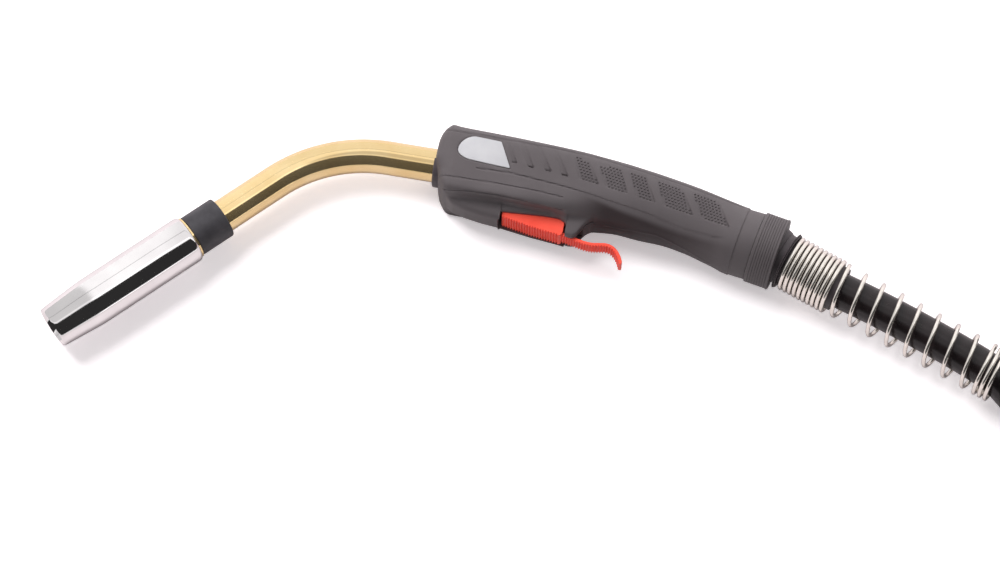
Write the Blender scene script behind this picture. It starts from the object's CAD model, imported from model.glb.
"""An air-cooled welding torch: nozzle, swan neck, handle, trigger, swivel cable support, cable and plug."""

import logging
import math
from collections.abc import Callable, Iterator, Sequence
from contextlib import contextmanager
from dataclasses import dataclass
from enum import Enum

import bpy
import numpy as np
from mathutils import Matrix, Vector
from mathutils.bvhtree import BVHTree


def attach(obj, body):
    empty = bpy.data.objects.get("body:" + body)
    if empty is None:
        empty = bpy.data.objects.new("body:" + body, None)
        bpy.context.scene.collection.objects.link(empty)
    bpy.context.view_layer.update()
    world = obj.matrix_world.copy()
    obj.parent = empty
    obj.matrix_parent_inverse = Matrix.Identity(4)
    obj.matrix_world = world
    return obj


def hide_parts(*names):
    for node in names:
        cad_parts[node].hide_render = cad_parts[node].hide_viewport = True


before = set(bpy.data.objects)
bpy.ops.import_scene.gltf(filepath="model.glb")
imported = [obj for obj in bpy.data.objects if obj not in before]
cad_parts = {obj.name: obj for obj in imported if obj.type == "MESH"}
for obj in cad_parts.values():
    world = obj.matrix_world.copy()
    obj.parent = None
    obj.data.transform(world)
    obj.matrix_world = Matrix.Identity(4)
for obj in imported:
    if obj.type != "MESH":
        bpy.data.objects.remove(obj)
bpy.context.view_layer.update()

LOG = logging.getLogger("torch")

Piece = bpy.types.Object
Socket = bpy.types.NodeSocket
Inputs = dict[str | int, object]
Pair = tuple[float, float]
Triple = tuple[float, float, float]
Outline = tuple[Pair, ...]

MM = 0.001

# Places in the torch's own millimetres: the frame's origin, the end of the neck's bend, the end of the grip,
# the middle of the support's ball, and the plug.
ROW_ORIGIN = (64.1344, -59.9333, -20.0)
BEND_END = (-86.4807, -25.5549)
REAR = (181.4, -17.2)
BALL = (190.235, -18.9173)
PLUG_AT = (626.0, -16.0, 8.5)

# The slopes of the nozzle, of the grip's end and of the support, and the directions that they give.
BEND = math.radians(46.5)
REAR_SLOPE = math.radians(11.0)
SWIVEL_SLOPE = math.radians(21.1)
NOZZLE_LINE = (-math.cos(BEND), -math.sin(BEND), 0.0)
REAR_LINE = (math.cos(REAR_SLOPE), -math.sin(REAR_SLOPE), 0.0)
SWIVEL_LINE = (math.cos(SWIVEL_SLOPE), -math.sin(SWIVEL_SLOPE), 0.0)


# ---------------------------------------------------------------- places


def torch(x: float, y: float, z: float = 0.0) -> Vector:
    """Turn a point of the torch's own axes into the row frame.

    Args:
        x: Millimetres back from the handle's front.
        y: Millimetres above the neck's line, towards the handle's back.
        z: Millimetres above the torch's middle plane.

    Returns:
        The point in metres.
    """
    ox, oy, oz = ROW_ORIGIN
    return Vector(((x - ox) * MM, (y - oy) * MM, (z - oz) * MM))


def axes(origin: Vector, along: Vector, side: Vector) -> Matrix:
    """Build a frame whose Z runs along an axis.

    Args:
        origin: Where the frame stands, in metres.
        along: The direction of its Z.
        side: The direction of its X, before it is squared up.

    Returns:
        The frame's matrix.
    """
    z = along.normalized()
    x = (side - side.dot(z) * z).normalized()
    y = z.cross(x)
    place = Matrix((x, y, z)).transposed().to_4x4()
    place.translation = origin
    return place


def line_axes(start: Pair, line: Triple, t: float = 0.0,
              side: Triple | None = None) -> Matrix:
    """Give the frame of a line in the torch's middle plane.

    Args:
        start: Where the line starts, in the torch's millimetres.
        line: Its direction.
        t: How far along it the frame stands, in millimetres.
        side: The direction of the frame's X, which otherwise lies in the plane.

    Returns:
        The frame's matrix.
    """
    along = Vector(line)
    across = Vector(side or (-along.y, along.x, 0.0))
    return axes(torch(start[0] + t * along.x, start[1] + t * along.y), along, across)


def front_axes(t: float) -> Matrix:
    """Give the nozzle line's frame, t millimetres from the bend's end."""
    return line_axes(BEND_END, NOZZLE_LINE, t, (0.0, 0.0, 1.0))


# ---------------------------------------------------------------- mesh tools


def clear_selection() -> None:
    """Leave nothing selected, so that an operator acts on one piece only."""
    for obj in bpy.context.selected_objects:
        obj.select_set(False)
    bpy.context.view_layer.objects.active = None


def take(obj: Piece) -> Piece:
    """Select one object alone and make it active.

    Args:
        obj: The piece.

    Returns:
        The same piece.
    """
    clear_selection()
    obj.select_set(True)
    bpy.context.view_layer.objects.active = obj
    return obj


def new_piece(name: str, points: Sequence[Sequence[float]], edges: Sequence[Sequence[int]],
              faces: Sequence[Sequence[int]]) -> Piece:
    """Make a mesh object from its points.

    Args:
        name: The piece's name.
        points: Its points, in metres.
        edges: Pairs of points that an edge joins.
        faces: The rings of points of its faces.

    Returns:
        The new object, alone in the selection.
    """
    mesh = bpy.data.meshes.new(name)
    mesh.from_pydata([tuple(p) for p in points], [tuple(e) for e in edges], [tuple(f) for f in faces])
    mesh.update()
    obj = bpy.data.objects.new(name, mesh)
    bpy.context.scene.collection.objects.link(obj)
    return take(obj)


def new_curve(name: str, kind: str, radius: float, sides: int) -> tuple[Piece, bpy.types.Spline]:
    """Make a round curve with closed ends and one spline that has no points yet.

    Args:
        name: The piece's name.
        kind: Blender's name for the kind of spline.
        radius: The curve's radius, in millimetres.
        sides: Its bevel resolution.

    Returns:
        The new object and its spline.
    """
    curve = bpy.data.curves.new(name, "CURVE")
    curve.dimensions = "3D"
    curve.bevel_depth = radius * MM
    curve.bevel_resolution = sides
    curve.use_fill_caps = True
    obj = bpy.data.objects.new(name, curve)
    bpy.context.scene.collection.objects.link(obj)
    return obj, curve.splines.new(kind)


@contextmanager
def editing(obj: Piece) -> Iterator[None]:
    """Hold a piece open in edit mode, with all of it selected.

    Args:
        obj: The piece.

    Yields:
        Nothing, once, while the piece is open.
    """
    take(obj)
    bpy.ops.object.mode_set(mode="EDIT")
    bpy.ops.mesh.select_all(action="SELECT")
    yield
    bpy.ops.object.mode_set(mode="OBJECT")


def tidy(obj: Piece, merge: float = 0.00001, smooth: float = 35.0) -> Piece:
    """Merge a mesh's doubles, point its faces outwards and smooth it by angle.

    Args:
        obj: The piece.
        merge: How near two points are to be one, in metres.
        smooth: The angle, in degrees, above which an edge stays sharp.

    Returns:
        The same piece.
    """
    with editing(obj):
        bpy.ops.mesh.remove_doubles(threshold=merge)
        bpy.ops.mesh.normals_make_consistent(inside=False)
    bpy.ops.object.shade_smooth_by_angle(angle=math.radians(smooth))
    return obj


def apply_modifier(obj: Piece, kind: str, **settings: object) -> None:
    """Add a modifier to a piece and apply it.

    Args:
        obj: The piece.
        kind: Blender's name for the modifier.
        **settings: The modifier's own settings.
    """
    take(obj)
    modifier = obj.modifiers.new(kind.lower(), kind)
    for key, value in settings.items():
        setattr(modifier, key, value)
    bpy.ops.object.modifier_apply(modifier=modifier.name)


def bevel(obj: Piece, width: float, angle: float) -> None:
    """Round a piece's edges that turn by more than an angle, in degrees, by a width in millimetres."""
    apply_modifier(obj, "BEVEL", width=width * MM, segments=3, limit_method="ANGLE",
                   angle_limit=math.radians(angle))


def joined(obj: Piece, other: Piece) -> Piece:
    """Make a second mesh part of the first.

    Args:
        obj: The piece that stays.
        other: The piece that goes into it.

    Returns:
        The piece that stays.
    """
    take(obj)
    other.select_set(True)
    bpy.ops.object.join()
    return obj


def turned(name: str, profile: Sequence[Pair], place: Matrix, steps: int = 96,
           smooth: float = 35.0) -> Piece:
    """Spin a closed outline round an axis, as on a lathe.

    Args:
        name: The piece's name.
        profile: Points (along, radius) of the outline, in millimetres.
        place: The frame whose Z is the axis.
        steps: The number of facets round.
        smooth: The angle that stays sharp, in degrees.

    Returns:
        The turned piece.
    """
    points = [(r * MM, 0.0, h * MM) for h, r in profile]
    ring = [(i, (i + 1) % len(points)) for i in range(len(points))]
    obj = new_piece(name, points, ring, [])
    with editing(obj):
        bpy.ops.mesh.spin(steps=steps, angle=2 * math.pi, center=(0, 0, 0), axis=(0, 0, 1))
    tidy(obj, smooth=smooth)
    obj.data.transform(place)
    return obj


def plate(name: str, outline: Sequence[Sequence[float]], foot: float, thick: float) -> Piece:
    """Raise a flat outline into a plate.

    Args:
        name: The piece's name.
        outline: Points (x, y) of the torch's own axes.
        foot: The plate's lower face, in millimetres above the middle plane.
        thick: Its thickness, in millimetres.

    Returns:
        The plate, with sharp edges.
    """
    low = [torch(x, y, foot) for x, y in outline]
    obj = new_piece(name, low, [], [tuple(range(len(low)))])
    with editing(obj):
        bpy.ops.mesh.extrude_region_move(TRANSFORM_OT_translate={"value": (0, 0, thick * MM)})
    return obj


def wire(name: str, points: Sequence[Vector], radius: float, sides: int) -> Piece:
    """Draw a round wire through points and make it a mesh.

    Args:
        name: The piece's name.
        points: The middle of the wire, in metres.
        radius: Its radius, in millimetres.
        sides: The curve's bevel resolution.

    Returns:
        The wire as a mesh, with closed ends.
    """
    obj, spline = new_curve(name, "POLY", radius, sides)
    spline.points.add(len(points) - 1)
    for knot, point in zip(spline.points, points):
        knot.co = (*point, 1.0)
    take(obj)
    bpy.ops.object.convert(target="MESH")
    return tidy(bpy.context.object, smooth=40.0)


def dress(obj: Piece, material: bpy.types.Material) -> None:
    """Give a piece one material all over.

    Args:
        obj: The piece.
        material: Its material.
    """
    if obj.material_slots:
        for slot in obj.material_slots:
            slot.material = material
    else:
        obj.data.materials.append(material)
    for polygon in getattr(obj.data, "polygons", []):
        polygon.material_index = 0


def finish(obj: Piece, material: bpy.types.Material, body: str, slot: str, *nodes: str) -> None:
    """Dress a piece and tell the frame what it rides on and stands for.

    Args:
        obj: The piece.
        material: What it is dressed in.
        body: The body that it rides on.
        slot: Its material slot.
        *nodes: The nodes that it replaces.
    """
    dress(obj, material)
    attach(obj, body)
    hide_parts(*nodes)


# ---------------------------------------------------------------- finishes


def linear(red: float, green: float, blue: float) -> tuple[float, float, float, float]:
    """Turn a colour of 0 to 255 a channel into Blender's linear colour.

    Args:
        red: The red channel.
        green: The green channel.
        blue: The blue channel.

    Returns:
        The colour, opaque.
    """
    def channel(value: float) -> float:
        """Turn one channel."""
        v = value / 255.0
        return v / 12.92 if v <= 0.04045 else ((v + 0.055) / 1.055) ** 2.4
    return (channel(red), channel(green), channel(blue), 1.0)


@dataclass(frozen=True)
class Graph:
    """A node tree, with short ways to add to it."""

    tree: bpy.types.NodeTree

    def fill(self, node: bpy.types.Node, inputs: Inputs) -> bpy.types.Node:
        """Give a node's inputs their values, or link them to other nodes' sockets.

        Args:
            node: The node.
            inputs: The value or the socket that each input gets.

        Returns:
            The same node.
        """
        for key, value in inputs.items():
            if isinstance(value, Socket):
                self.tree.links.new(value, node.inputs[key])
            else:
                node.inputs[key].default_value = value
        return node

    def add(self, kind: str, inputs: Inputs, **settings: object) -> bpy.types.Node:
        """Add a node.

        Args:
            kind: Blender's name for the node, without the prefix that all of them share.
            inputs: The value or the socket that each input gets.
            **settings: The node's own settings.

        Returns:
            The node.
        """
        node = self.tree.nodes.new("ShaderNode" + kind)
        for key, value in settings.items():
            setattr(node, key, value)
        return self.fill(node, inputs)

    def maths(self, kind: str, *values: Socket | float) -> Socket:
        """Join values by one operation."""
        return self.add("Math", dict(enumerate(values)), operation=kind).outputs[0]

    def along(self, place: Socket, line: Sequence[float]) -> Socket:
        """Measure how far a place lies along a direction."""
        inputs = {0: place, 1: Vector(line).normalized()}
        return self.add("VectorMath", inputs, operation="DOT_PRODUCT").outputs["Value"]

    def step(self, value: Socket, low: float, high: float, start: float = 0.0,
             end: float = 1.0) -> Socket:
        """Turn a value into a smooth step, start up to low and end from high on."""
        inputs = {"Value": value, "From Min": low, "From Max": high, "To Min": start, "To Max": end}
        return self.add("MapRange", inputs, interpolation_type="SMOOTHSTEP").outputs["Result"]

    def mix(self, share: Socket, first: object, second: object, kind: str = "RGBA",
            blend: str = "MIX") -> Socket:
        """Go from the first colour or level to the second by a share."""
        inputs = {"Factor": share, "A": first, "B": second}
        return self.add("Mix", inputs, data_type=kind, blend_type=blend).outputs["Result"]


@dataclass(frozen=True)
class Grooves:
    """Fine parallel lines cut round or across a piece."""

    axis: Triple
    spacing: float
    depth: float


@dataclass(frozen=True)
class Zone:
    """One side of a line along the torch where hands have worn the finish dark.

    The line passes through a point, and the finish darkens over a width in the direction given.
    """

    towards: Pair
    point: Pair
    width: float

    def build(self, graph: Graph, place: Socket) -> Socket:
        """Give 0 before the line and 1 beyond its width.

        Args:
            graph: The material's nodes.
            place: The place on the piece.

        Returns:
            The zone's mask.
        """
        line = (*self.towards, 0.0)
        start = Vector(line).normalized().dot(torch(*self.point))
        return graph.step(graph.along(place, line), start, start + self.width * MM)


# Where on the noise a finish's two tones stand, the size of its gloss's patches beside its colour's, and the
# roughness of a clear coat.
TONES_AT = (0.35, 0.7)
GLOSS_PATCH = 0.37
COAT_ROUGHNESS = 0.12

# The tone of a plating where it turns away, the facing between which it comes in, and what wear multiplies by.
RIM_TONE = (92, 86, 90)
RIM_FACING = (0.62, 0.92)
WORN_TONE = (158, 143, 145)


@dataclass(frozen=True)
class Finish:
    """A finish with two tones of colour, uneven gloss and a fine relief.

    Sizes are in millimetres and colours are 0 to 255 a channel.
    """

    name: str
    tone: Triple
    second: Triple
    metallic: float
    gloss: Pair
    patch: float
    grain: float
    relief: float
    coat: float = 0.0
    grooves: Grooves | None = None
    specular: float = 0.5
    worn: tuple[Zone, ...] = ()
    rim: float = 0.0

    def build(self) -> bpy.types.Material:
        """Make the material's node tree.

        Returns:
            The finished material.
        """
        material = bpy.data.materials.new(self.name)
        material.use_nodes = True
        graph = Graph(material.node_tree)
        place = graph.add("TexCoord", {}).outputs["Object"]

        def noise(size: float, detail: float = 2.0) -> Socket:
            """Add a noise whose lumps are about size millimetres."""
            inputs = {"Scale": 1000.0 / size, "Detail": detail, "Vector": place}
            return graph.add("TexNoise", inputs).outputs["Fac"]

        ramp = graph.add("ValToRGB", {"Fac": noise(self.patch, 3.0)})
        for stop, at, tone in zip(ramp.color_ramp.elements, TONES_AT, (self.tone, self.second)):
            stop.position = at
            stop.color = linear(*tone)
        sheen = {"Value": noise(self.patch * GLOSS_PATCH), "To Min": self.gloss[0], "To Max": self.gloss[1]}
        grain = {"Strength": 1.0, "Distance": self.relief * MM, "Height": noise(self.grain)}
        normal = graph.add("Bump", grain).outputs["Normal"]
        if self.grooves is not None:
            normal = self.lines(graph, place, normal)
        graph.fill(graph.tree.nodes["Principled BSDF"], {
            "Base Color": self.rimmed(graph, self.wear(graph, place, ramp.outputs["Color"])),
            "Metallic": self.metallic,
            "Roughness": graph.add("MapRange", sheen).outputs["Result"],
            "Normal": normal,
            "Specular IOR Level": self.specular,
            "Coat Weight": self.coat,
            "Coat Roughness": COAT_ROUGHNESS,
        })
        return material

    def rimmed(self, graph: Graph, colour: Socket) -> Socket:
        """Darken a colour where the surface turns away, as a polished plating does.

        Args:
            graph: The material's nodes.
            colour: The colour seen square on.

        Returns:
            The colour, darker at the rims.
        """
        if not self.rim:
            return colour
        facing = graph.add("LayerWeight", {}).outputs["Facing"]
        return graph.mix(graph.step(facing, *RIM_FACING, 0.0, self.rim), colour, linear(*RIM_TONE))

    def wear(self, graph: Graph, place: Socket,
             colour: Socket) -> Socket:
        """Darken a colour where all the worn zones meet.

        Args:
            graph: The material's nodes.
            place: The place on the piece.
            colour: The colour that isn't worn.

        Returns:
            The colour, darker where it is worn.
        """
        if not self.worn:
            return colour
        mask, *others = [zone.build(graph, place) for zone in self.worn]
        for other in others:
            mask = graph.maths("MULTIPLY", mask, other)
        return graph.mix(mask, colour, linear(*WORN_TONE), blend="MULTIPLY")

    def lines(self, graph: Graph, place: Socket,
              under: Socket) -> Socket:
        """Add the finish's parallel lines over its grain.

        Args:
            graph: The material's nodes.
            place: The place on the piece.
            under: The normal that the lines lie on.

        Returns:
            The normal with the lines.
        """
        turns = 2 * math.pi * 1000.0 / self.grooves.spacing
        wave = graph.maths("SINE", graph.maths("MULTIPLY", graph.along(place, self.grooves.axis), turns))
        inputs = {"Distance": self.grooves.depth * MM, "Height": wave, "Normal": under}
        return graph.add("Bump", inputs).outputs["Normal"]


class Coat(Enum):
    """The finishes of the torch, one for each thing that it is made of.

    Each gives its name, its two tones, how metallic it is, its gloss, the size of its patches, the size of its
    grain and the grain's relief, in that order.
    """

    CHROME = Finish("polished_chrome", (222, 219, 219), (232, 230, 229), 1.0, (0.05, 0.10), 20, 0.3, 0.0012,
                    grooves=Grooves(NOZZLE_LINE, 0.35, 0.0006), rim=0.5)
    NECK = Finish("drawn_brass", (233, 208, 158), (227, 198, 143), 0.86, (0.07, 0.12), 16, 0.6, 0.0012)
    BRASS = Finish("turned_brass", (214, 176, 96), (196, 156, 80), 1.0, (0.22, 0.34), 6, 0.3, 0.003)
    COPPER = Finish("bright_copper", (206, 128, 92), (190, 110, 78), 1.0, (0.22, 0.34), 6, 0.3, 0.003)
    STEEL = Finish("zinc_steel", (182, 182, 184), (160, 160, 164), 1.0, (0.28, 0.42), 5, 0.3, 0.003)
    SPRING = Finish("spring_wire", (246, 240, 232), (234, 228, 220), 0.92, (0.14, 0.22), 5, 0.4, 0.002, rim=0.6)
    INSULATOR = Finish("pressed_insulator", (64, 62, 66), (50, 48, 52), 0.0, (0.5, 0.62), 7, 0.35, 0.012)
    CERAMIC = Finish("ceramic", (222, 214, 200), (206, 196, 180), 0.0, (0.5, 0.6), 5, 0.3, 0.01)
    SLEEVE = Finish("neck_sleeve", (210, 200, 170), (198, 187, 156), 0.0, (0.5, 0.6), 6, 0.3, 0.01)
    COLLAR = Finish("collar_plastic", (76, 69, 72), (66, 59, 62), 0.0, (0.45, 0.55), 7, 0.3, 0.008)
    HANDLE = Finish("grained_handle", (90, 84, 86), (83, 77, 79), 0.0, (0.50, 0.60), 26, 0.32, 0.022,
                    worn=(Zone((1.0, 0.0), (79.0, 0.0), 20.0), Zone((-1.0, 0.0), (178.0, 0.0), 48.0),
                          Zone((-0.178, -1.0), (81.9, -9.4), 3.2)))
    BADGE = Finish("badge_film", (190, 189, 192), (183, 182, 186), 0.0, (0.28, 0.36), 9, 0.4, 0.002, coat=0.2)
    TRIGGER = Finish("trigger_plastic", (255, 91, 73), (248, 82, 65), 0.0, (0.36, 0.46), 10, 0.3, 0.006,
                     specular=0.35)
    RED = Finish("red_plastic", (176, 40, 34), (160, 34, 30), 0.0, (0.38, 0.5), 6, 0.3, 0.006)
    BLACK = Finish("black_moulding", (40, 37, 38), (30, 28, 29), 0.0, (0.42, 0.54), 8, 0.3, 0.010)
    LEAD = Finish("lead_rubber", (44, 44, 48), (34, 34, 38), 0.0, (0.5, 0.6), 5, 0.3, 0.008)
    CABLE = Finish("cable_rubber", (34, 27, 28), (26, 20, 21), 0.0, (0.22, 0.30), 14, 0.5, 0.010, specular=0.4)


NODES_BY_COAT: dict[Coat, tuple[str, ...]] = {
    Coat.CHROME: ("gas_nozzle",),
    Coat.NECK: ("nozzle_bush", "neck_tube"),
    Coat.BRASS: ("tip_holder", "neck_nut", "cable_fitting", "screw_inserts", "plug_core", "plug_pins",
                 "plug_gas_tube"),
    Coat.COPPER: ("contact_tip", "neck_conductor"),
    Coat.STEEL: ("wire_liner", "crimp_ferrule", "handle_screws", "trigger_pin", "plug_screws"),
    Coat.SPRING: ("nozzle_clip", "trigger_spring", "support_spring"),
    Coat.INSULATOR: ("nozzle_insulator",),
    Coat.CERAMIC: ("gas_diffuser",),
    Coat.SLEEVE: ("neck_insulation",),
    Coat.COLLAR: ("neck_collar", "support_ball"),
    Coat.HANDLE: ("handle_shell_upper", "handle_shell_lower", "lock_ring"),
    Coat.BADGE: ("badge",),
    Coat.TRIGGER: ("trigger",),
    Coat.RED: ("switch_plunger",),
    Coat.BLACK: ("microswitch", "plug_boot", "plug_housing_upper", "plug_housing_lower", "plug_disc",
                 "plug_nut"),
    Coat.LEAD: ("switch_leads", "plug_o_ring"),
    Coat.CABLE: ("cable_tail", "cable_run", "cable_coil", "cable_lead", "plug_cable"),
}


class Paints:
    """The materials, each made once when it is first asked for."""

    def __init__(self) -> None:
        """Start with no material made."""
        self._made: dict[Coat, bpy.types.Material] = {}

    def get(self, coat: Coat) -> bpy.types.Material:
        """Give the material of a finish.

        Args:
            coat: The finish.

        Returns:
            Its material.
        """
        if coat not in self._made:
            self._made[coat] = coat.value.build()
        return self._made[coat]

    def nodes(self) -> None:
        """Give every node of the frame its own finish."""
        coats = {name: coat for coat, names in NODES_BY_COAT.items() for name in names}
        for name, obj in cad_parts.items():
            dress(obj, self.get(coats[name]))


# ---------------------------------------------------------------- studio


@dataclass(frozen=True)
class Slope:
    """How a level changes across a plane through the eye: start up to low, end from high on."""

    low: float
    high: float
    start: float = 0.0
    end: float = 1.0


@dataclass
class Studio:
    """The floor, the lamps, the world and the camera.

    What the torch mirrors is a room with a dark wedge to the front, bright strips that lie across the nozzle's
    line and overhead, and a seam between them. Each is bounded by planes through the eye.
    """

    distance: float = 1.75
    lens: float = 115.0
    elevation: float = math.radians(67.0)
    turn: float = math.radians(10.2)
    target: Triple = (-0.01663, -0.00587, 0.020)
    floor_bounce: Triple = (0.68, 0.66, 0.66)
    floor_mirrored: Triple = (0.86, 0.79, 0.81)
    floor_seen: Triple = (1.02, 0.98, 0.995)
    floor_tint: Triple = (1.0, 0.955, 0.97)
    floor_lift: float = 0.36
    floor_size: float = 9.0
    dark_top: Triple = (0.4056, -0.8731, -0.2709)
    dark_foot: Triple = (-0.0076, 0.0500, 0.9987)
    dark_edge: Slope = Slope(0.0, 0.05)
    dark_level: float = 0.03
    strips: tuple[Slope, ...] = (Slope(0.04, 0.085, 0.76, 1.28), Slope(0.15, 0.28, 1.0, 0.84))
    overhead: Slope = Slope(-0.16, -0.08, 1.0, 1.40)
    seam: Triple = (0.4225, -0.7938, 0.438)
    seam_edges: tuple[Slope, ...] = (Slope(-0.035, 0.0), Slope(0.0, 0.035, 1.0, 0.0))
    seam_depth: float = 0.60
    diffuse_light: float = 0.42
    diffuse_dark: float = 0.40

    def camera(self) -> None:
        """Set the camera up above and before the torch."""
        ahead = Vector((-math.sin(self.turn), math.cos(self.turn), 0.0))
        right = Vector((math.cos(self.turn), math.sin(self.turn), 0.0))
        look = ahead * math.cos(self.elevation) - Vector((0, 0, 1)) * math.sin(self.elevation)
        up = right.cross(look)
        place = Matrix((right, up, -look)).transposed().to_4x4()
        place.translation = Vector(self.target) - look * self.distance
        data = bpy.data.cameras.new("camera")
        data.lens = self.lens
        data.sensor_width = 36.0
        data.clip_start = 0.05
        data.clip_end = 20.0
        camera = bpy.data.objects.new("camera", data)
        camera.matrix_world = place
        bpy.context.scene.collection.objects.link(camera)
        bpy.context.scene.camera = camera
    def lamp(self, name: str, place: Triple, size: Pair,
             power: float) -> None:
        """Hang one rectangular soft lamp that faces the torch.

        Args:
            name: The lamp's name.
            place: Where it hangs, in metres.
            size: Its width and height, in metres.
            power: Its power, in watts.
        """
        data = bpy.data.lights.new(name, "AREA")
        data.shape = "RECTANGLE"
        data.size, data.size_y = size
        data.energy = power
        lamp = bpy.data.objects.new(name, data)
        lamp.visible_glossy = False
        aim = (-Vector(place)).to_track_quat("-Z", "Y")
        lamp.matrix_world = Matrix.Translation(place) @ aim.to_matrix().to_4x4()
        bpy.context.scene.collection.objects.link(lamp)

    def floor(self) -> None:
        """Lay the pale floor, which throws less light back than it shows."""
        clear_selection()
        bpy.ops.mesh.primitive_plane_add(size=self.floor_size, location=(0, 0, 0))
        plane = bpy.context.object
        plane.name = "floor"
        material = bpy.data.materials.new("pale_floor")
        material.use_nodes = True
        graph = Graph(material.node_tree)
        path = graph.add("LightPath", {})
        colour = (*self.floor_bounce, 1.0)
        for seen, tone in (("Is Glossy Ray", self.floor_mirrored), ("Is Camera Ray", self.floor_seen)):
            colour = graph.mix(path.outputs[seen], colour, (*tone, 1.0))
        lift = {"Value": path.outputs["Is Camera Ray"], "To Min": 0.0, "To Max": self.floor_lift}
        graph.fill(graph.tree.nodes["Principled BSDF"], {
            "Base Color": colour,
            "Roughness": 0.9,
            "Specular IOR Level": 0.0,
            "Emission Color": (*self.floor_tint, 1.0),
            "Emission Strength": graph.add("MapRange", lift).outputs["Result"],
        })
        dress(plane, material)

    def world(self) -> None:
        """Fill the room with soft light: white where it is seen, dark to the front, bright overhead."""
        world = bpy.data.worlds.new("room")
        bpy.context.scene.world = world
        world.use_nodes = True
        graph = Graph(world.node_tree)
        place = graph.add("TexCoord", {}).outputs["Generated"]

        def side(normal: Triple, *slopes: Slope) -> list[Socket]:
            """Give the levels on the two sides of a plane through the eye."""
            return [graph.step(graph.along(place, normal), s.low, s.high, s.start, s.end) for s in slopes]

        wedge = graph.maths("MULTIPLY", *side(self.dark_top, self.dark_edge),
                            *side(self.dark_foot, self.dark_edge))
        back = (-NOZZLE_LINE[0], -NOZZLE_LINE[1], 0.0)
        seam = graph.maths("MULTIPLY", *side(self.seam, *self.seam_edges))
        above = graph.maths("SUBTRACT", *side(self.dark_top, self.overhead),
                            graph.maths("MULTIPLY", seam, self.seam_depth))
        bright = graph.maths("MULTIPLY", graph.maths("MULTIPLY", *side(back, *self.strips)), above)
        path = graph.add("LightPath", {})
        level = graph.mix(wedge, self.diffuse_light, self.diffuse_dark, "FLOAT")
        mirrored = graph.mix(wedge, bright, self.dark_level, "FLOAT")
        for seen, value in (("Is Glossy Ray", mirrored), ("Is Camera Ray", 1.0)):
            level = graph.mix(path.outputs[seen], level, value, "FLOAT")
        graph.fill(graph.tree.nodes["Background"], {"Color": (1.0, 0.99, 1.0, 1.0), "Strength": level})
    def build(self) -> None:
        """Set the whole studio up."""
        scene = bpy.context.scene
        scene.view_settings.view_transform = "Standard"
        self.camera()
        self.floor()
        self.world()
        self.lamp("key", (-0.9, 0.6, 1.7), (1.2, 1.1), 38.0)
        self.lamp("back", (0.3, 1.7, 0.55), (1.6, 0.5), 12.0)


# ---------------------------------------------------------------- cable


@dataclass
class Cable:
    """The cable, from the support's tube to the plug, with its unseen length coiled.

    The free length is given along and beside the support's line, and the rest in the torch's own axes.
    """

    diameter: float = 20.0
    exit_at: float = 43.7
    free: tuple[Triple, ...] = (
        (0, 0, 0), (25, 1.1, 0.2), (50, 1.4, 0.2), (74, 1.1, 0.1), (94, 0.1, -0.7), (98.5, -0.5, -1.2))
    laid: tuple[Triple, ...] = ((329.5, -75.3, -3.6), (349, -91.5, -9))
    lead_out: tuple[Triple, ...] = ((580, -99.5, 10.4), (603, -77, 9.8), (619, -48, 9))
    coil: Pair = (467.0, -26.0)
    coil_from: float = -128.5
    coil_radius: float = 125.0
    coil_pitch: float = 21.5
    layer_turns: float = 1.85
    climb: float = 0.5
    coil_turns: float = 4.2
    layer_step: float = 20.8
    rings: int = 24
    length: float = 3034.0
    heading_step: float = 0.01
    def coil_point(self, turn: float) -> Vector:
        """Give the coil's point after a number of turns.

        Args:
            turn: How many turns lie before the point.

        Returns:
            The point, in the torch's millimetres.
        """
        angle = math.radians(self.coil_from + 360.0 * turn)
        radius = self.coil_radius - self.coil_pitch * min(turn, self.coil_turns - turn)
        rise = min(max((turn - self.layer_turns) / self.climb, 0.0), 1.0)
        floor = self.diameter / 2 + ROW_ORIGIN[2]
        height = floor + self.layer_step * (1 - math.cos(math.pi * rise)) / 2
        x, y = self.coil
        return Vector((x + radius * math.cos(angle), y + radius * math.sin(angle), height))

    def points(self) -> list[Vector]:
        """Give the whole route in the torch's millimetres.

        Returns:
            The route's points, from the support to the plug.
        """
        along = Vector(SWIVEL_LINE)
        side = Vector((-along.y, along.x, 0.0))
        start = Vector((*BALL, 0.0)) + along * self.exit_at
        out = [start + along * a + side * b + Vector((0, 0, c)) for a, b, c in self.free]
        steps = round(self.coil_turns * self.rings)
        loops = [self.coil_point(i / self.rings) for i in range(steps + 1)]
        enter = (self.coil_point(self.heading_step) - loops[0]).normalized()
        leave = (loops[-1] - self.coil_point(self.coil_turns - self.heading_step)).normalized()
        out += [Vector(p) for p in self.laid]
        out += [loops[0] - self.diameter * enter, *loops, loops[-1] + self.diameter * leave]
        out += [Vector(p) for p in (*self.lead_out, PLUG_AT)]
        return out

    def build(self, paints: Paints) -> None:
        """Draw the cable as one smooth curve.

        Args:
            paints: The materials.
        """
        route = [torch(*p) for p in self.points()]
        cable, spline = new_curve("cable", "BEZIER", self.diameter / 2, 7)
        spline.resolution_u = 5
        spline.bezier_points.add(len(route) - 1)
        for knot, point in zip(spline.bezier_points, route):
            knot.co = point
            knot.handle_left_type = knot.handle_right_type = "AUTO"
        finish(cable, paints.get(Coat.CABLE), "grip", "cable_rubber", "cable_run", "cable_coil", "cable_lead")


# ---------------------------------------------------------------- cable support


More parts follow.
